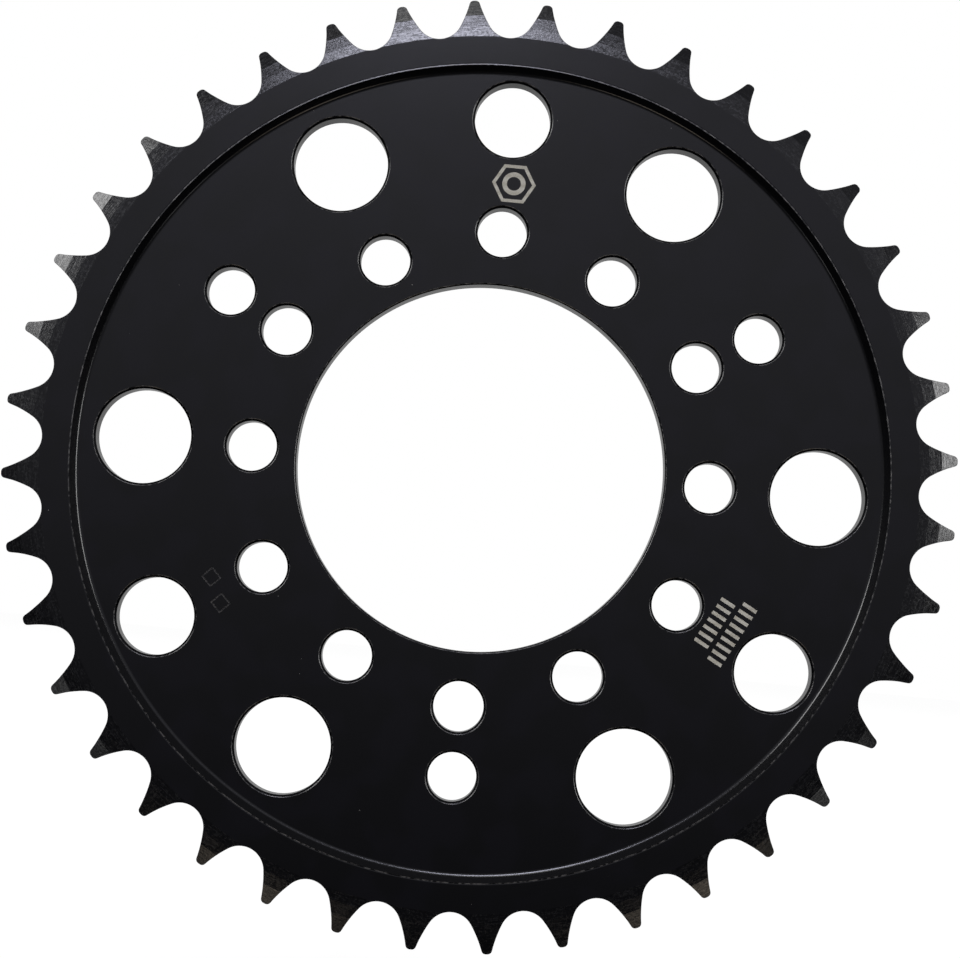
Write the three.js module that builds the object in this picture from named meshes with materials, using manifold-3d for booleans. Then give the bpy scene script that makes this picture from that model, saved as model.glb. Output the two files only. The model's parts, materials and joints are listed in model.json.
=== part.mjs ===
// Rear chain sprocket for a motorcycle: one plate of aluminium, turned and milled from the solid.
// Millimetres, +Z up. The plate spins about +Y; its stepped front faces -Y and its flat back +Y.
// The origin is the centre of the tooth circle, half-way through the toothed rim.
// Angles run from +X towards +Z, which is anticlockwise when looking at the front.

import * as THREE from 'three';
import { mergeVertices } from 'three/addons/utils/BufferGeometryUtils.js';
import Module from 'manifold-3d';

const { degToRad } = THREE.MathUtils;

// The chain that the teeth carry: 5/8 inch pitch, 1/4 inch between its inner plates.
const CHAIN_PITCH = 15.875;
const ROLLER_DIAMETER = 10.16;
const CHAIN_INNER_WIDTH = 6.35;

// Teeth. Each gap is a roller seat that opens into two hollow flanks.
const TOOTH_COUNT = 40;
const FIRST_TOOTH_ANGLE = degToRad(6);
const TIP_RADIUS = 105.2;
const TIP_CORNER_RADIUS = 0.95;
const SEAT_RADIUS = 5.2;
const SEAT_HALF_ANGLE = degToRad(58);
const FLANK_RADIUS = 26;
const RIM_SHARE_OF_CHAIN_WIDTH = 0.93;

// Side relief of the teeth, the same on both sides: cones that start at these radii.
const RELIEF_CONES = [
  { start: 96.3, slope: Math.tan(degToRad(5)) },
  { start: 98.5, slope: Math.tan(degToRad(10)) },
  { start: 101.3, slope: Math.tan(degToRad(20)) },
];

// The web inside the rim is sunk below the rim's front face. A sloping wall goes down to it and
// ends in a turned fillet.
const WEB_RECESS = 1.4;
const RECESS_RADIUS = 89.8;
const RECESS_WALL_SLOPE = degToRad(45);
const RECESS_FILLET_RADIUS = 1.1;
const BORE_RADIUS = 40.5;
const BORE_CHAMFER = 0.3;
const HOLE_CHAMFER = 0.5;

// Round holes through the web. Each row is a circle of holes: how many, the diameters of the
// circle and of its holes, and the angle of the first one.
const HOLE_CIRCLES = [
  // Hub bolts, for the wide and for the narrow fitting.
  { count: 6, circle: 105, hole: 11, first: 30 },
  { count: 6, circle: 101, hole: 11, first: 0 },
  // Machining fixture.
  { count: 3, circle: 135.3, hole: 10.6, first: 30 },
  // Lightening, small and large.
  { count: 3, circle: 156, hole: 16.9, first: 90 },
  { count: 6, circle: 148.7, hole: 20.9, first: 0 },
];

// How finely round surfaces are faceted.
const SEAT_HALF_SEGMENTS = 3;
const FLANK_SEGMENTS = 2;
const TIP_CORNER_SEGMENTS = 2;
const FILLET_SEGMENTS = 2;
const BORE_SEGMENTS = 80;
const RECESS_SEGMENTS = 80;
const HOLE_FACET_LENGTH = 2.2;

const TOOTH_STEP = 2 * Math.PI / TOOTH_COUNT;
const PITCH_RADIUS = CHAIN_PITCH / (2 * Math.sin(TOOTH_STEP / 2));
const ROOT_RADIUS = PITCH_RADIUS - ROLLER_DIAMETER / 2;
const RIM_THICKNESS = RIM_SHARE_OF_CHAIN_WIDTH * CHAIN_INNER_WIDTH;
const FRONT_FACE = -RIM_THICKNESS / 2;
const BACK_FACE = RIM_THICKNESS / 2;
const WEB_FACE = FRONT_FACE + WEB_RECESS;
const CUTTER_OVERRUN = 1;
const AXIS = new THREE.Vector2(0, 0);

const manifold = await Module();
manifold.setup();

// A closed three.js geometry as a solid that can be cut and joined.
function solidFrom(geometry) {
  geometry.deleteAttribute('normal');
  geometry.deleteAttribute('uv');
  const merged = mergeVertices(geometry);
  return new manifold.Manifold(new manifold.Mesh({
    numProp: 3,
    vertProperties: new Float32Array(merged.attributes.position.array),
    triVerts: new Uint32Array(merged.index.array),
  }));
}

function geometryFrom(solid) {
  const { vertProperties, triVerts } = solid.getMesh();
  const geometry = new THREE.BufferGeometry();
  geometry.setAttribute('position', new THREE.BufferAttribute(vertProperties, 3));
  geometry.setIndex(new THREE.BufferAttribute(triVerts, 1));
  geometry.computeVertexNormals();
  return geometry;
}

function polar(centre, radius, angle) {
  return new THREE.Vector2(centre.x + radius * Math.cos(angle), centre.y + radius * Math.sin(angle));
}

// Points along an arc, both ends included.
function arc(centre, radius, from, to, segments) {
  return Array.from({ length: segments + 1 }, (_, i) =>
    polar(centre, radius, from + (to - from) * i / segments));
}

// Half of a tooth gap whose middle lies on the +X axis: from the bottom of the roller seat
// up one flank and round the corner of the neighbouring tooth's tip.
function halfGap() {
  const seatCentre = new THREE.Vector2(ROOT_RADIUS + SEAT_RADIUS, 0);
  const seatEnd = Math.PI - SEAT_HALF_ANGLE;
  const flankCentre = polar(seatCentre, FLANK_RADIUS - SEAT_RADIUS, -SEAT_HALF_ANGLE);

  // The corner's centre lies inside the tooth, where its arc touches the flank and the tip circle.
  const reach = FLANK_RADIUS + TIP_CORNER_RADIUS;
  const cornerOrbit = TIP_RADIUS - TIP_CORNER_RADIUS;
  const flankOrbit = flankCentre.length();
  const bend = Math.acos((cornerOrbit ** 2 - flankOrbit ** 2 - reach ** 2) / (2 * reach * flankOrbit));
  const flankEnd = Math.atan2(flankCentre.y, flankCentre.x) + bend;
  const cornerCentre = polar(flankCentre, reach, flankEnd);
  const cornerEnd = Math.atan2(cornerCentre.y, cornerCentre.x);

  const seat = arc(seatCentre, SEAT_RADIUS, Math.PI, seatEnd, SEAT_HALF_SEGMENTS);
  const flank = arc(flankCentre, FLANK_RADIUS, seatEnd, flankEnd, FLANK_SEGMENTS);
  const corner = arc(cornerCentre, TIP_CORNER_RADIUS, flankEnd - Math.PI, cornerEnd, TIP_CORNER_SEGMENTS);
  return [...seat, ...flank.slice(1), ...corner.slice(1)];
}

// The toothed outline, cut straight through a blank thicker than the plate.
function toothedBlank() {
  const upper = halfGap();
  const lower = upper.slice(1).reverse().map((point) => new THREE.Vector2(point.x, -point.y));
  const gap = [...lower, ...upper];
  const outline = [];
  for (let i = 0; i < TOOTH_COUNT; i += 1) {
    const middle = FIRST_TOOTH_ANGLE + (i + 0.5) * TOOTH_STEP;
    outline.push(...gap.map((point) => point.clone().rotateAround(AXIS, middle)));
  }
  const depth = RIM_THICKNESS + 2 * CUTTER_OVERRUN;
  const geometry = new THREE.ExtrudeGeometry(new THREE.Shape(outline), { depth, bevelEnabled: false });
  geometry.translate(0, 0, -depth / 2);
  geometry.rotateX(Math.PI / 2);
  return solidFrom(geometry);
}

// A solid of revolution about the plate's axis, from pairs of radius and height that start and
// end on the axis.
function turned(profile, segments, start = 0) {
  const points = profile.map(([radius, height]) => new THREE.Vector2(radius, height));
  return solidFrom(new THREE.LatheGeometry(points, segments, start));
}

// The faces of the rim and the relief of the teeth, which has one flat on each side of each tooth
// for each cone. A flat's middle, on the tooth's own middle, lies at the cone's radius.
function rimFaces() {
  const ends = [...RELIEF_CONES.slice(1).map((cone) => cone.start), TIP_RADIUS + CUTTER_OVERRUN];
  const relief = [[RELIEF_CONES[0].start, 0]];
  RELIEF_CONES.forEach(({ start, slope }, i) => {
    relief.push([ends[i], relief[i][1] + (ends[i] - start) * slope]);
  });
  const corners = relief.map(([radius, sunk]) => [radius / Math.cos(TOOTH_STEP / 2), sunk]);
  const profile = [
    [0, FRONT_FACE],
    ...corners.map(([radius, sunk]) => [radius, FRONT_FACE + sunk]),
    ...corners.reverse().map(([radius, sunk]) => [radius, BACK_FACE - sunk]),
    [0, BACK_FACE],
  ];
  return turned(profile, TOOTH_COUNT, Math.PI / 2 - FIRST_TOOTH_ANGLE - TOOTH_STEP / 2);
}

// What is turned away from the front to sink the web.
function recessCutter() {
  const filletDepth = RECESS_FILLET_RADIUS * (1 - Math.cos(RECESS_WALL_SLOPE));
  const wallFoot = RECESS_RADIUS - (WEB_RECESS - filletDepth) / Math.tan(RECESS_WALL_SLOPE);
  const filletCentre = new THREE.Vector2(
    wallFoot - RECESS_FILLET_RADIUS * Math.sin(RECESS_WALL_SLOPE),
    WEB_FACE - RECESS_FILLET_RADIUS,
  );
  const bottom = Math.PI / 2;
  const fillet = arc(
    filletCentre,
    RECESS_FILLET_RADIUS,
    bottom - RECESS_WALL_SLOPE,
    bottom,
    FILLET_SEGMENTS,
  );
  const profile = [
    [0, FRONT_FACE - CUTTER_OVERRUN],
    [RECESS_RADIUS, FRONT_FACE - CUTTER_OVERRUN],
    [RECESS_RADIUS, FRONT_FACE],
    ...fillet.map((point) => [point.x, point.y]),
    [0, WEB_FACE],
  ];
  return turned(profile, RECESS_SEGMENTS);
}

// A drill through the web, with a chamfer at each face.
function holeCutter(radius, chamfer, segments) {
  const mouth = radius + chamfer + CUTTER_OVERRUN;
  const profile = [
    [0, WEB_FACE - CUTTER_OVERRUN],
    [mouth, WEB_FACE - CUTTER_OVERRUN],
    [radius, WEB_FACE + chamfer],
    [radius, BACK_FACE - chamfer],
    [mouth, BACK_FACE + CUTTER_OVERRUN],
    [0, BACK_FACE + CUTTER_OVERRUN],
  ];
  return turned(profile, segments);
}

function sprocketPlate() {
  let plate = toothedBlank()
    .intersect(rimFaces())
    .subtract(recessCutter())
    .subtract(holeCutter(BORE_RADIUS, BORE_CHAMFER, BORE_SEGMENTS));
  for (const { count, circle, hole, first } of HOLE_CIRCLES) {
    const segments = 4 * Math.round(Math.PI * hole / HOLE_FACET_LENGTH / 4);
    const cutter = holeCutter(hole / 2, HOLE_CHAMFER, segments);
    for (let i = 0; i < count; i += 1) {
      const centre = polar(AXIS, circle / 2, degToRad(first + i * 360 / count));
      plate = plate.subtract(cutter.translate([centre.x, 0, centre.y]));
    }
  }
  const blackAnodised = new THREE.MeshStandardMaterial({ color: 0x202024, roughness: 0.35, metalness: 0.9 });
  const mesh = new THREE.Mesh(geometryFrom(plate), blackAnodised);
  mesh.name = 'sprocket_plate';
  return mesh;
}

const sprocket = new THREE.Group();
sprocket.name = 'rear_sprocket';
sprocket.add(sprocketPlate());

export default sprocket;
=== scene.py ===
import cmath
import json
import math

import bmesh
import bpy
from mathutils import Matrix, Vector
from mathutils.geometry import delaunay_2d_cdt


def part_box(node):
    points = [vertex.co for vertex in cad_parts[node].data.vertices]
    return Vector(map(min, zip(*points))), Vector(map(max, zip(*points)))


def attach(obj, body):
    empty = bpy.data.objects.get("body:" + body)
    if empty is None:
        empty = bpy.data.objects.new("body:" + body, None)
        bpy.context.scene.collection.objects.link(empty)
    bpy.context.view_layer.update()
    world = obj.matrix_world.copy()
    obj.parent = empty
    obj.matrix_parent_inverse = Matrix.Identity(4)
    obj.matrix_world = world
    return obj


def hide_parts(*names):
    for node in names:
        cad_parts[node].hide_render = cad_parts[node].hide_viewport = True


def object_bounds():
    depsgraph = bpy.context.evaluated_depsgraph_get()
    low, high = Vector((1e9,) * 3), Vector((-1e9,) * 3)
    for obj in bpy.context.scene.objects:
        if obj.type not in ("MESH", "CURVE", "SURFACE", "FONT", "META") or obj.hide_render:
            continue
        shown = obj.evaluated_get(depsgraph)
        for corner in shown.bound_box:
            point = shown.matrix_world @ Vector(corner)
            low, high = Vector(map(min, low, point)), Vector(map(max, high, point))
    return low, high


# The looks of a black anodised rear sprocket. Its mesh is made in millimetres, in the plan of its
# front: a plan point is the complex number x + zi, and a height is y, which grows towards the back.
# Angles run from +X to +Z.

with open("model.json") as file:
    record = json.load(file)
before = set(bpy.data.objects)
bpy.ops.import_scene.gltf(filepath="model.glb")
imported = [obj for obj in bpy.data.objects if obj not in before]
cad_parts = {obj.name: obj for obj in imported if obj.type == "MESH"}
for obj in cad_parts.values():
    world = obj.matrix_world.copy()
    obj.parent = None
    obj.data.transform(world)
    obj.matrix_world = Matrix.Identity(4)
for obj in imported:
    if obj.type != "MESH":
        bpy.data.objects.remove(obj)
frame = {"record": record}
cad_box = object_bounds()

MM = 0.001
NODE = "sprocket_plate"

# Sizes that the CAD plate has, in millimetres.
TOOTH_COUNT = 40
FIRST_TOOTH_ANGLE = math.radians(6)
CHAIN_PITCH = 15.875
ROLLER_DIAMETER = 10.16
TIP_RADIUS = 105.2
TIP_CORNER_RADIUS = 0.95
SEAT_RADIUS = 5.2
SEAT_HALF_ANGLE = math.radians(58)
FLANK_RADIUS = 26
RELIEF_CONES = ((96.3, math.radians(5)), (98.5, math.radians(10)), (101.3, math.radians(20)))
WEB_RECESS = 1.4
RECESS_RADIUS = 89.8
RECESS_WALL_SLOPE = math.radians(45)
RECESS_FILLET_RADIUS = 1.1
BORE_RADIUS = 40.5
BORE_CHAMFER = 0.3
HOLE_CHAMFER = 0.5
HOLE_RADII = {
    "wide_bolt_hole": 5.5,
    "narrow_bolt_hole": 5.5,
    "fixture_hole": 5.3,
    "small_lightening_hole": 8.45,
    "large_lightening_hole": 10.45,
}

# Broken edges. A shallow groove runs round the recess, between its edge and the flat of the rim,
# and its bottom lies this far out from the edge.
EDGE_BREAK = 0.08
RECESS_EDGE_BREAK = 0.1
GROOVE_OFFSET = 0.25
GROOVE_DEPTH = 0.03
RIM_FLAT_RADIUS = 90.2

# How finely round surfaces are stepped, and the sharpest angle that is still shaded smooth.
SEAT_STEPS = 9
FLANK_STEPS = 6
CORNER_STEPS = 4
FILLET_STEPS = 6
BORE_STEPS = 360
HOLE_STEP_LENGTH = 0.35
SHARP_ANGLE = math.radians(30)

TOOTH_STEP = 2 * math.pi / TOOTH_COUNT
ROOT_RADIUS = CHAIN_PITCH / (2 * math.sin(TOOTH_STEP / 2)) - ROLLER_DIAMETER / 2
RELIEF_STARTS = [start for start, _ in RELIEF_CONES]
box_low, box_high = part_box(NODE)
FRONT_FACE = box_low[1] / MM
BACK_FACE = box_high[1] / MM
WEB_FACE = FRONT_FACE + WEB_RECESS

# The materials of the plate, in the order of its material slots.
FACE, RELIEF, WALL, EDGE, ETCHED, STAMPED = range(6)


# ---------------------------------------------------------------- geometry

class Surface:
    """Rows of points and the faces between them."""

    def __init__(self):
        self.points = []
        self.faces = []
        self.materials = []

    def row(self, plan, height):
        """Adds plan points at one height, or each at a height of its own, and returns their indices."""
        first = len(self.points)
        heights = height if isinstance(height, list) else [height] * len(plan)
        self.points += [Vector((p.real, h, p.imag)) for p, h in zip(plan, heights)]
        return list(range(first, len(self.points)))

    def face(self, corners, material):
        self.faces.append(tuple(corners))
        self.materials.append(material)

    def band(self, near, far, material):
        """Joins two closed rows of the same length."""
        for i, j in zip(range(len(near)), [*range(1, len(near)), 0]):
            self.face((near[i], near[j], far[j], far[i]), material)

    def flat(self, outer, inner, material):
        """Fills the flat region between one outer row and any inner rows, which are convex."""
        rows = [outer, *inner]
        indices = [index for row in rows for index in row]
        row_of = {index: number for number, row in enumerate(rows) for index in row}
        plan = [Vector((self.points[i].x, self.points[i].z)) for i in indices]
        edges = []
        for row in rows:
            first = len(edges)
            edges += [(first + k, first + (k + 1) % len(row)) for k in range(len(row))]
        inside_outline, tolerance, name_sources = 1, 1e-6, True
        filled = delaunay_2d_cdt(plan, edges, [], inside_outline, tolerance, name_sources)
        _, _, triangles, originals, *_ = filled
        source = [indices[same_place[0]] for same_place in originals]
        for corners in triangles:
            face = [source[c] for c in corners]
            touched = {row_of[index] for index in face}
            if len(touched) > 1 or touched == {0}:
                self.face(face, material)


def circle(centre, radius, steps):
    return [centre + cmath.rect(radius, 2 * math.pi * k / steps) for k in range(steps)]


def spread(start, end, steps):
    return [start + (end - start) * k / steps for k in range(steps + 1)]


def relief_depth(radius):
    """How far the side of a tooth lies below the face of the rim."""
    ends = [*RELIEF_STARTS[1:], math.inf]
    return sum(
        max(0, min(radius, end) - start) * math.tan(slope)
        for (start, slope), end in zip(RELIEF_CONES, ends)
    )


def half_gap():
    """Half a tooth gap about the x axis, from the bottom of the roller seat to the tip's land.

    Each entry pairs a point of the outline with the point beside it on the broken edge. The arcs
    are also cut where the broken edge crosses a start of the relief, so no face spans a crease.
    """
    seat_centre = complex(ROOT_RADIUS + SEAT_RADIUS, 0)
    seat_end = math.pi - SEAT_HALF_ANGLE
    flank_centre = seat_centre + cmath.rect(FLANK_RADIUS - SEAT_RADIUS, -SEAT_HALF_ANGLE)

    def angle_at(distance, centre, arm):
        """Where a circle of radius arm reaches a distance from the plate's axis."""
        orbit = abs(centre)
        cosine = (distance**2 - orbit**2 - arm**2) / (2 * arm * orbit)
        return cmath.phase(centre) + math.acos(max(-1, min(1, cosine)))

    reach = FLANK_RADIUS + TIP_CORNER_RADIUS
    flank_end = angle_at(TIP_RADIUS - TIP_CORNER_RADIUS, flank_centre, reach)
    corner_centre = flank_centre + cmath.rect(reach, flank_end)

    seat = spread(math.pi, seat_end, SEAT_STEPS)
    flank = spread(seat_end, flank_end, FLANK_STEPS)
    corner = spread(flank_end - math.pi, cmath.phase(corner_centre), CORNER_STEPS)
    for start in RELIEF_STARTS:
        on_seat = angle_at(start, seat_centre, SEAT_RADIUS + EDGE_BREAK)
        on_flank = angle_at(start, flank_centre, FLANK_RADIUS + EDGE_BREAK)
        if on_seat > seat_end:
            seat.append(on_seat)
        else:
            flank.append(on_flank)

    arcs = (
        (seat_centre, SEAT_RADIUS, EDGE_BREAK, sorted(seat, reverse=True)),
        (flank_centre, FLANK_RADIUS, EDGE_BREAK, sorted(flank, reverse=True)[1:]),
        (corner_centre, TIP_CORNER_RADIUS, -EDGE_BREAK, corner[1:]),
    )
    return [
        (centre + cmath.rect(radius, angle), centre + cmath.rect(radius + inward, angle))
        for centre, radius, inward, angles in arcs
        for angle in angles
    ]


def outline_columns():
    """The whole toothed outline, as pairs of a point and its neighbour on the broken edge."""
    upper = half_gap()
    lower = [(p.conjugate(), q.conjugate()) for p, q in reversed(upper[1:])]
    columns = []
    for gap in range(TOOTH_COUNT):
        turn = cmath.rect(1, FIRST_TOOTH_ANGLE + (gap + 0.5) * TOOTH_STEP)
        columns += [(p * turn, q * turn) for p, q in lower + upper]
    return columns


def toothed_side(surface, columns, face_height, inward):
    """One side of the rim and its teeth. Returns its innermost row and the row of the outline."""
    # A line outwards ends on the broken edge, and has no extra corner this near to its end.
    close = 1e-4
    lines = []
    for _, broken in columns:
        end = abs(broken)
        radii = [RIM_FLAT_RADIUS, *(r for r in RELIEF_STARTS if r < end - close), end]
        heights = [face_height + inward * relief_depth(radius) for radius in radii]
        lines.append(surface.row([broken / end * radius for radius in radii], heights))
    for here, there in zip(lines, lines[1:] + lines[:1]):
        shared = min(len(here), len(there))
        for k in range(shared - 1):
            material = RELIEF if k else FACE
            surface.face((here[k], there[k], there[k + 1], here[k + 1]), material)
        if len(here) != len(there):
            # The shorter line ends on the crease where the longer one has its last corner but one.
            longer = max(here, there, key=len)
            surface.face((here[shared - 1], there[shared - 1], longer[shared]), RELIEF)
    outer = [abs(point) for point, _ in columns]
    rim = surface.row(
        [point for point, _ in columns],
        [face_height + inward * (relief_depth(radius) + EDGE_BREAK) for radius in outer],
    )
    surface.band([line[-1] for line in lines], rim, EDGE)
    return [line[0] for line in lines], rim


def recess(surface, columns, rim_row):
    """The wall from the front of the rim down to the web. Returns the row that bounds the web."""
    fillet_depth = RECESS_FILLET_RADIUS * (1 - math.cos(RECESS_WALL_SLOPE))
    wall_foot = RECESS_RADIUS - (WEB_RECESS - fillet_depth) / math.tan(RECESS_WALL_SLOPE)
    centre_radius = wall_foot - RECESS_FILLET_RADIUS * math.sin(RECESS_WALL_SLOPE)
    down_wall = cmath.rect(RECESS_EDGE_BREAK, RECESS_WALL_SLOPE)
    profile = [
        (RECESS_RADIUS + GROOVE_OFFSET, FRONT_FACE + GROOVE_DEPTH, FACE),
        (RECESS_RADIUS, FRONT_FACE, EDGE),
        (RECESS_RADIUS - down_wall.real, FRONT_FACE + down_wall.imag, WALL),
    ]
    for slope in spread(RECESS_WALL_SLOPE, 0, FILLET_STEPS):
        profile.append((
            centre_radius + RECESS_FILLET_RADIUS * math.sin(slope),
            WEB_FACE - RECESS_FILLET_RADIUS * (1 - math.cos(slope)),
            WALL,
        ))
    last = rim_row
    for radius, height, material in profile:
        row = surface.row([q / abs(q) * radius for _, q in columns], height)
        surface.band(last, row, material)
        last = row
    return last


def hole(surface, centre, radius, chamfer, steps):
    """A chamfered hole through the web. Returns its mouths in the front and in the back."""
    mouth = radius + chamfer
    profile = [
        (mouth + EDGE_BREAK, WEB_FACE, None),
        (mouth - EDGE_BREAK, WEB_FACE + EDGE_BREAK, EDGE),
        (radius, WEB_FACE + chamfer, WALL),
        (radius, BACK_FACE - chamfer, WALL),
        (mouth - EDGE_BREAK, BACK_FACE - EDGE_BREAK, WALL),
        (mouth + EDGE_BREAK, BACK_FACE, EDGE),
    ]
    rows = [surface.row(circle(centre, wide, steps), height) for wide, height, _ in profile]
    for near, far, (_, _, material) in zip(rows, rows[1:], profile[1:]):
        surface.band(near, far, material)
    return rows[0], rows[-1]


# Plain marks that stand where the real plate is etched and stamped. None of them is a letter.
ETCH_DEPTH = 0.03
STAMP_DEPTH = 0.12
NUT_MARK_PLACE = cmath.rect(63.6, math.radians(88.6))
NUT_MARK_RADII = (4.9, 4.05)
NUT_MARK_RING_RADII = (2.6, 1.55)
TALLY_ANGLE = math.radians(-28.5)
TALLY_ROWS = ((66.0, 9), (61.4, 7))
TALLY_PITCH = 1.75
TALLY_BAR = complex(3.5, 0.8)
DIAMOND_PLACES = (cmath.rect(63.5, math.radians(207.6)), cmath.rect(64.0, math.radians(213.0)))
DIAMOND_RADIUS = 2.3
DIAMOND_STROKE = 0.55


def sunk(surface, outline, depth, material, island=None, on_island=()):
    """A shallow mark sunk into the web, round an island if one is given. Returns its outline."""
    top = surface.row(outline, WEB_FACE)
    floor = surface.row(outline, WEB_FACE + depth)
    surface.band(top, floor, material)
    inner = []
    if island:
        island_top = surface.row(island, WEB_FACE)
        island_foot = surface.row(island, WEB_FACE + depth)
        surface.band(island_top, island_foot, material)
        surface.flat(island_top, on_island, FACE)
        inner = [island_foot]
    surface.flat(floor, inner, material)
    return top


def nut_mark(surface):
    """A hexagon with a ring inside it, as a nut is drawn."""
    ring_outer, ring_inner = (circle(NUT_MARK_PLACE, radius, 60) for radius in NUT_MARK_RING_RADII)
    ring = sunk(surface, ring_outer, ETCH_DEPTH, ETCHED, ring_inner)
    outer, inner = (circle(NUT_MARK_PLACE, radius, 6) for radius in NUT_MARK_RADII)
    return sunk(surface, outer, ETCH_DEPTH, ETCHED, inner, [ring])


def tally_marks(surface):
    """Two rows of short bars that point at the plate's axis."""
    turn = cmath.rect(1, TALLY_ANGLE)
    outlines = []
    for radius, count in TALLY_ROWS:
        for k in range(count):
            across = (k - (count - 1) / 2) * TALLY_PITCH
            corners = [
                complex(radius + u * TALLY_BAR.real / 2, across + v * TALLY_BAR.imag / 2) * turn
                for u, v in ((-1, -1), (1, -1), (1, 1), (-1, 1))
            ]
            outlines.append(sunk(surface, corners, ETCH_DEPTH, ETCHED))
    return outlines


def stamped_diamonds(surface):
    outlines = []
    for place in DIAMOND_PLACES:
        outer = circle(place, DIAMOND_RADIUS, 4)
        inner = circle(place, DIAMOND_RADIUS - DIAMOND_STROKE, 4)
        outlines.append(sunk(surface, outer, STAMP_DEPTH, STAMPED, inner))
    return outlines


def plate_surface():
    surface = Surface()
    columns = outline_columns()
    front_inner, front_rim = toothed_side(surface, columns, FRONT_FACE, 1)
    back_inner, back_rim = toothed_side(surface, columns, BACK_FACE, -1)
    surface.band(front_rim, back_rim, WALL)
    web_row = recess(surface, columns, front_inner)

    fronts, backs = [], []
    for opening in frame["record"]["physics"]["openings"]:
        kind = opening["name"].rsplit("_", 1)[0]
        if kind not in HOLE_RADII:
            # One of the two boxes of the bore, which is made below.
            continue
        low, high = opening["box_m"]
        centre = complex(low[0] + high[0], low[2] + high[2]) / 2 / MM
        steps = 4 * round(2 * math.pi * HOLE_RADII[kind] / HOLE_STEP_LENGTH / 4)
        front, back = hole(surface, centre, HOLE_RADII[kind], HOLE_CHAMFER, steps)
        fronts.append(front)
        backs.append(back)
    front, back = hole(surface, 0j, BORE_RADIUS, BORE_CHAMFER, BORE_STEPS)
    fronts.append(front)
    backs.append(back)
    marks = [nut_mark(surface), *tally_marks(surface), *stamped_diamonds(surface)]
    surface.flat(web_row, fronts + marks, FACE)
    surface.flat(back_inner, backs, FACE)
    return surface


def plate_object(materials):
    """The plate as a Blender object in metres. Flat regions are shaded flat, turned ones smooth."""
    surface = plate_surface()
    mesh = bpy.data.meshes.new("machined_plate")
    mesh.from_pydata([MM * point for point in surface.points], [], surface.faces)
    for material in materials:
        mesh.materials.append(material)
    mesh.polygons.foreach_set("material_index", surface.materials)

    work = bmesh.new()
    work.from_mesh(mesh)
    bmesh.ops.recalc_face_normals(work, faces=work.faces)
    for face in work.faces:
        face.smooth = face.material_index in (WALL, EDGE)
    for edge in work.edges:
        one, other = edge.link_faces
        same_cut = one.material_index == other.material_index
        edge.smooth = same_cut and edge.calc_face_angle() < SHARP_ANGLE
    work.to_mesh(mesh)
    work.free()

    plate = bpy.data.objects.new("machined_plate", mesh)
    bpy.context.scene.collection.objects.link(plate)
    return plate


# ---------------------------------------------------------------- materials

# The sockets of a Mix node that mixes colours, and its output.
MIX_SHARE, MIX_ONE, MIX_OTHER = 0, 6, 7
MIX_RESULT = 2


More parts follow.
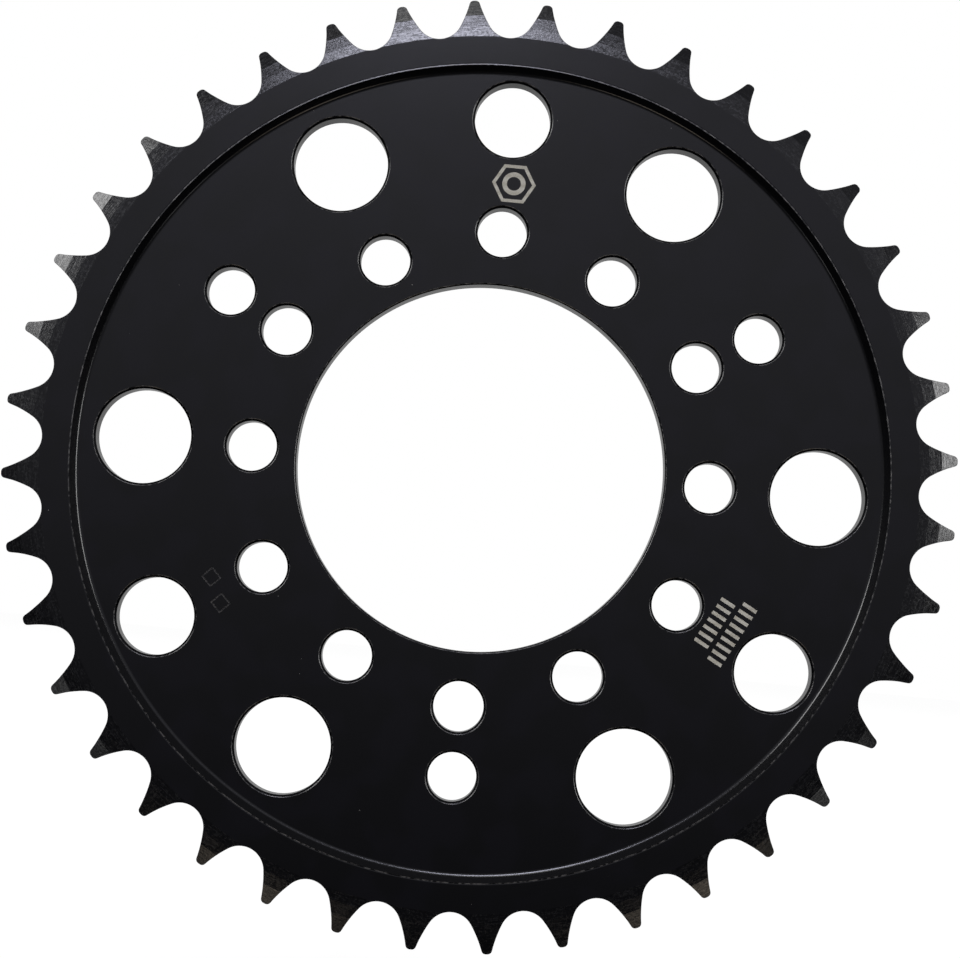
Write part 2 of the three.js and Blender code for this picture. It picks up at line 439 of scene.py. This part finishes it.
class Finish:
    """A material and its nodes."""

    def __init__(self, name, **shader):
        self.material = bpy.data.materials.new(name)
        self.material.use_nodes = True
        self.tree = self.material.node_tree
        self.shader = self.tree.nodes["Principled BSDF"]
        for socket, value in shader.items():
            self.set(self.shader, socket.replace("_", " "), value)
        self.place = self.node("TexCoord").outputs["Object"]

    def set(self, node, socket, value):
        if isinstance(value, bpy.types.NodeSocket):
            self.tree.links.new(value, node.inputs[socket])
        else:
            node.inputs[socket].default_value = value

    def node(self, kind, inputs=(), **settings):
        node = self.tree.nodes.new("ShaderNode" + kind)
        for name, value in settings.items():
            setattr(node, name, value)
        for socket, value in dict(inputs).items():
            self.set(node, socket, value)
        return node

    def math(self, operation, *values):
        return self.node("Math", enumerate(values), operation=operation).outputs[0]

    def ramp(self, value, low, high, to_low=0.0, to_high=1.0):
        """Maps low..high smoothly to to_low..to_high, and holds it level outside."""
        node = self.node("MapRange", interpolation_type="SMOOTHSTEP")
        for socket, setting in enumerate((value, low, high, to_low, to_high)):
            self.set(node, socket, setting)
        return node.outputs[0]

    def mix(self, share, one, other):
        node = self.node("Mix", data_type="RGBA")
        for socket, value in zip((MIX_SHARE, MIX_ONE, MIX_OTHER), (share, one, other)):
            self.set(node, socket, value)
        return node.outputs[MIX_RESULT]

    def radius(self):
        """The distance from the plate's axis, in millimetres."""
        flat = self.node("VectorMath", {0: self.place, 1: (1 / MM, 0, 1 / MM)}, operation="MULTIPLY")
        return self.node("VectorMath", {0: flat.outputs[0]}, operation="LENGTH").outputs["Value"]

    def turned(self, per_radian, per_mm, detail=2.0):
        """Noise that is drawn out along circles about the plate's axis, as turning leaves it."""
        plan = self.node("VectorMath", {0: self.place, 1: (1, 0, 1)}, operation="MULTIPLY")
        unit = self.node("VectorMath", {0: plan.outputs[0]}, operation="NORMALIZE").outputs[0]
        round_part = self.node("VectorMath", {0: unit, "Scale": per_radian}, operation="SCALE")
        outwards = self.node("CombineXYZ", {1: self.math("MULTIPLY", self.radius(), per_mm)})
        place = self.node("VectorMath", {0: round_part.outputs[0], 1: outwards.outputs[0]})
        noise = self.node("TexNoise", {"Vector": place.outputs[0], "Scale": 1.0, "Detail": detail})
        return noise.outputs["Fac"]

    def grain(self, size_mm, detail=2.0):
        noise = self.node("TexNoise", {"Vector": self.place, "Scale": 1 / (MM * size_mm), "Detail": detail})
        return noise.outputs["Fac"]

    def specks(self, spacing_mm, size_mm, share):
        """1 in small round specks, one in a share of the cells of a grid, and 0 elsewhere."""
        cells = self.node("TexVoronoi", {"Vector": self.place, "Scale": 1 / (MM * spacing_mm)})
        near = self.ramp(cells.outputs["Distance"], size_mm / spacing_mm, 0.6 * size_mm / spacing_mm)
        chosen = self.node("SeparateColor", {0: cells.outputs["Color"]}).outputs[0]
        return self.math("MULTIPLY", near, self.math("LESS_THAN", chosen, share))

    def bump(self, height, depth_mm):
        bump = self.node("Bump", {"Height": height, "Distance": MM * depth_mm, "Strength": 1.0})
        self.set(self.shader, "Normal", bump.outputs[0])


BLACK_DYE = (0.0022, 0.0022, 0.0027, 1)
DYE_SHEEN = (0.0035, 0.0033, 0.0050, 1)
THIN_DYE = (0.006, 0.006, 0.007, 1)
# The lighter colour of the broken edges: partly wear, partly a painted highlight along the edge lines.
WORN_DYE_AND_EDGE_HIGHLIGHT = (0.13, 0.125, 0.12, 1)
CRUSHED_DYE = (0.06, 0.055, 0.05, 1)
DARK_ETCH = (0.47, 0.44, 0.35, 1)
LIGHT_ETCH = (0.66, 0.64, 0.55, 1)
DUST = (0.32, 0.31, 0.29, 1)
OXIDE_IOR = 1.66

# The scale of the bands in the etching, in millimetres.
HATCH_SCALE = 6.3


def face_finish():
    """The flats: satin black, turned so finely that the rings hardly show, with a little dust."""
    finish = Finish("black_anodised_face", IOR=OXIDE_IOR)
    rings = finish.turned(per_radian=6, per_mm=5)
    grain = finish.grain(size_mm=0.25)
    clouds = finish.grain(size_mm=9, detail=1.0)
    dust = finish.specks(spacing_mm=3.2, size_mm=0.11, share=0.16)
    dye = finish.mix(finish.ramp(clouds, 0.4, 0.62), BLACK_DYE, DYE_SHEEN)
    finish.set(finish.shader, "Base Color", finish.mix(dust, dye, DUST))
    rough = finish.math("MULTIPLY_ADD", rings, 0.04, 0.14)
    finish.set(finish.shader, "Roughness", finish.math("MULTIPLY_ADD", grain, 0.02, rough))
    finish.bump(finish.math("ADD", rings, finish.math("MULTIPLY", grain, 0.5)), depth_mm=0.0015)
    return finish.material


def relief_finish():
    """The sides of the teeth: coarser turning marks that the dye leaves streaky."""
    finish = Finish("black_anodised_relief", IOR=OXIDE_IOR)
    streaks = finish.turned(per_radian=40, per_mm=4, detail=4.0)
    mottle = finish.grain(size_mm=0.55, detail=3.0)
    texture = finish.math("ADD", streaks, mottle)
    dye = finish.mix(finish.ramp(texture, 0.9, 1.3), BLACK_DYE, THIN_DYE)
    finish.set(finish.shader, "Base Color", dye)
    finish.set(finish.shader, "Roughness", finish.ramp(texture, 0.75, 1.25, to_low=0.13, to_high=0.3))
    finish.bump(texture, depth_mm=0.016)
    return finish.material


def wall_finish():
    """The milled walls of the teeth and holes, and the wall of the recess."""
    finish = Finish("black_anodised_wall", IOR=OXIDE_IOR, Base_Color=BLACK_DYE)
    milled = finish.grain(size_mm=0.35, detail=3.0)
    finish.set(finish.shader, "Roughness", finish.ramp(milled, 0.3, 0.7, to_low=0.14, to_high=0.22))
    finish.bump(milled, depth_mm=0.0015)
    return finish.material


def edge_finish():
    """Broken edges, where handling has rubbed the dye thin in places. Their lighter patches are partly that
    wear and partly a painted highlight along the edge lines.
    """
    finish = Finish("worn_and_highlit_edge", IOR=OXIDE_IOR)
    wear = finish.grain(size_mm=0.9, detail=5.0)
    wear_and_edge_highlight = finish.ramp(wear, 0.42, 0.62)
    # Lighter base colour on the edges: partly wear, partly a painted highlight of the edge lines.
    finish.set(finish.shader, "Base Color", finish.mix(wear_and_edge_highlight, BLACK_DYE, WORN_DYE_AND_EDGE_HIGHLIGHT))
    finish.set(finish.shader, "Metallic", finish.math("MULTIPLY", wear_and_edge_highlight, 0.3))
    finish.set(finish.shader, "Roughness", finish.ramp(wear, 0.3, 0.7, to_low=0.24, to_high=0.4))
    finish.bump(wear, depth_mm=0.01)
    return finish.material


def etched_finish():
    """Where a laser took the dye off: matt, warm silver, with the hatching of the beam."""
    finish = Finish("laser_etched")
    bands = {"Vector": finish.place, "Scale": 1 / (MM * HATCH_SCALE)}
    hatch = finish.node("TexWave", bands, bands_direction="Z")
    mottle = finish.grain(size_mm=0.3, detail=3.0)
    tone = finish.math("MULTIPLY_ADD", hatch.outputs["Fac"], 0.3, mottle)
    colour = finish.mix(finish.ramp(tone, 0.3, 0.9), DARK_ETCH, LIGHT_ETCH)
    finish.set(finish.shader, "Base Color", colour)
    finish.set(finish.shader, "Roughness", finish.ramp(mottle, 0.3, 0.7, to_low=0.5, to_high=0.7))
    finish.bump(tone, depth_mm=0.004)
    return finish.material


def stamped_finish():
    """Marks pressed in before the plate was dyed, so their floors are black but rougher."""
    finish = Finish("stamped_floor", IOR=OXIDE_IOR)
    crushed = finish.grain(size_mm=0.3, detail=4.0)
    dye = finish.mix(finish.ramp(crushed, 0.4, 0.65), BLACK_DYE, CRUSHED_DYE)
    finish.set(finish.shader, "Base Color", dye)
    finish.set(finish.shader, "Roughness", finish.ramp(crushed, 0.3, 0.7, to_low=0.3, to_high=0.5))
    finish.bump(crushed, depth_mm=0.03)
    return finish.material


# ---------------------------------------------------------------- studio

# How far the soft boxes stand from the plate, in metres, and their power at brightness 1.
LIGHT_DISTANCE = 2.0
WATTS_PER_SQUARE_METRE = 4

WHITE = (1, 1, 1)
COOL = (0.95, 0.96, 1.14)
WARM = (1, 0.86, 0.7)

# Soft boxes: name, azimuth and elevation in degrees, width and height in metres, brightness and
# colour. Azimuth 0 is straight in front of the plate and 90 is on its +X side.
SOFT_BOXES = (
    ("key_above", -6.5, 34.6, 0.45, 0.5, 8, COOL),
    ("high_above", -14, 56, 0.5, 0.4, 2, WHITE),
    ("right_side", 52, 12, 0.42, 0.75, 5.3, WHITE),
    ("left_side", -50, 24, 0.55, 0.75, 5, WHITE),
    ("warm_right", 32, -39, 0.6, 0.45, 0.9, WARM),
    ("warm_left", -23, -41, 0.6, 0.45, 1.0, WARM),
    ("low_right", 46, -24, 0.4, 0.3, 0.8, WHITE),
    ("low_left", -46, -24, 0.4, 0.3, 0.8, WHITE),
    ("back_above", 180, 35, 0.9, 0.7, 4, WHITE),
    ("back_left", 132, 10, 0.5, 0.9, 3, WHITE),
    ("back_right", 225, 15, 0.5, 0.9, 3, WHITE),
)


def add_soft_box(name, azimuth, elevation, width, height, brightness, colour):
    data = bpy.data.lights.new(name, "AREA")
    data.shape = "RECTANGLE"
    data.size = width
    data.size_y = height
    data.energy = WATTS_PER_SQUARE_METRE * width * height * brightness
    data.color = colour
    light = bpy.data.objects.new(name, data)
    round_plate = Matrix.Rotation(math.radians(azimuth), 4, "Z")
    upwards = Matrix.Rotation(-math.radians(elevation), 4, "X")
    in_front = Matrix.Translation((0, -LIGHT_DISTANCE, 0))
    towards_plate = Matrix.Rotation(math.radians(90), 4, "X")
    light.matrix_world = round_plate @ upwards @ in_front @ towards_plate
    light.visible_camera = False
    bpy.context.scene.collection.objects.link(light)


# The glow of the studio that the plate reflects, by direction. Each entry is an axis, the stretch
# of it over which a value changes, and the value at either end. +Z is up and +Y is behind.
GLOW_BY_HEIGHT = ("Z", -0.25, 0.4, 0.03, 0.3)
SHARE_OFF_FRONT = ("Y", -0.8, -0.3, 1.0, 0.25)
GLOW_BEHIND = ("Y", 0.86, 0.97, 0.0, 0.45)
UNTINTED_BEHIND = ("Y", -0.1, 0.3, 0.0, 1.0)
STUDIO_TINT = (0.97, 0.97, 1.08, 1)


def studio_world():
    """White to the camera. To the plate it is dim, lighter above and in front, and pale far behind."""
    world = bpy.data.worlds.new("studio")
    world.use_nodes = True
    tree = world.node_tree
    add = tree.nodes.new
    link = tree.links.new

    direction = add("ShaderNodeSeparateXYZ")
    link(add("ShaderNodeTexCoord").outputs["Generated"], direction.inputs[0])
    seen = add("ShaderNodeLightPath").outputs["Is Camera Ray"]

    def level(axis, low, high, to_low, to_high):
        node = add("ShaderNodeMapRange")
        node.interpolation_type = "SMOOTHSTEP"
        link(direction.outputs[axis], node.inputs["Value"])
        settings = {"From Min": low, "From Max": high, "To Min": to_low, "To Max": to_high}
        for socket, value in settings.items():
            node.inputs[socket].default_value = value
        return node.outputs[0]

    def combined(operation, one, other):
        node = add("ShaderNodeMath")
        node.operation = operation
        link(one, node.inputs[0])
        link(other, node.inputs[1])
        return node.outputs[0]

    around = combined("MULTIPLY", level(*GLOW_BY_HEIGHT), level(*SHARE_OFF_FRONT))
    strength = add("ShaderNodeMix")
    link(seen, strength.inputs["Factor"])
    link(combined("ADD", around, level(*GLOW_BEHIND)), strength.inputs["A"])
    strength.inputs["B"].default_value = 1.0
    tint = add("ShaderNodeMix")
    tint.data_type = "RGBA"
    link(combined("MAXIMUM", seen, level(*UNTINTED_BEHIND)), tint.inputs[MIX_SHARE])
    tint.inputs[MIX_ONE].default_value = STUDIO_TINT
    tint.inputs[MIX_OTHER].default_value = (1, 1, 1, 1)
    background = tree.nodes["Background"]
    link(tint.outputs[MIX_RESULT], background.inputs["Color"])
    link(strength.outputs["Result"], background.inputs["Strength"])
    bpy.context.scene.world = world


FLOOR_SIZE = 6.0
FLOOR_GLOW = 0.96


def add_floor():
    """A pale floor under the lowest teeth. It glows, so it has no edge against the background."""
    half = FLOOR_SIZE / 2
    mesh = bpy.data.meshes.new("floor")
    square = ((-half, -half), (half, -half), (half, half), (-half, half))
    corners = [(x, y, cad_box[0].z) for x, y in square]
    mesh.from_pydata(corners, [], [(0, 1, 2, 3)])
    floor = bpy.data.objects.new("floor", mesh)
    bpy.context.scene.collection.objects.link(floor)
    paint = Finish("pale_floor", Roughness=0.9, Base_Color=(0.05, 0.05, 0.05, 1))
    paint.set(paint.shader, "Emission Color", (1, 1, 1, 1))
    paint.set(paint.shader, "Emission Strength", FLOOR_GLOW)
    mesh.materials.append(paint.material)
    floor.visible_glossy = False
    floor.visible_diffuse = False


# The camera stands in front of the plate, a little below its middle, and is rolled slightly.
CAMERA_PLACE = Vector((-0.22, -380, -33.22)) * MM
CAMERA_TARGET = Vector((0.11, -1.85, -2.72)) * MM
CAMERA_ROLL = math.radians(5.3)
CAMERA_LENS = 64.93


def add_camera():
    data = bpy.data.cameras.new("camera")
    data.lens = CAMERA_LENS
    data.sensor_width = 36
    data.clip_start = 0.01
    camera = bpy.data.objects.new("camera", data)
    aim = (CAMERA_TARGET - CAMERA_PLACE).to_track_quat("-Z", "Y").to_matrix().to_4x4()
    camera.matrix_world = Matrix.Translation(CAMERA_PLACE) @ aim @ Matrix.Rotation(CAMERA_ROLL, 4, "Z")
    bpy.context.scene.collection.objects.link(camera)
    bpy.context.scene.camera = camera


# ---------------------------------------------------------------- the scene

add_camera()
for soft_box in SOFT_BOXES:
    add_soft_box(*soft_box)
add_floor()
studio_world()
bpy.context.scene.view_settings.view_transform = "Standard"

plate = plate_object([
    face_finish(),
    relief_finish(),
    wall_finish(),
    edge_finish(),
    etched_finish(),
    stamped_finish(),
])
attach(plate, "root")
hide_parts(NODE)
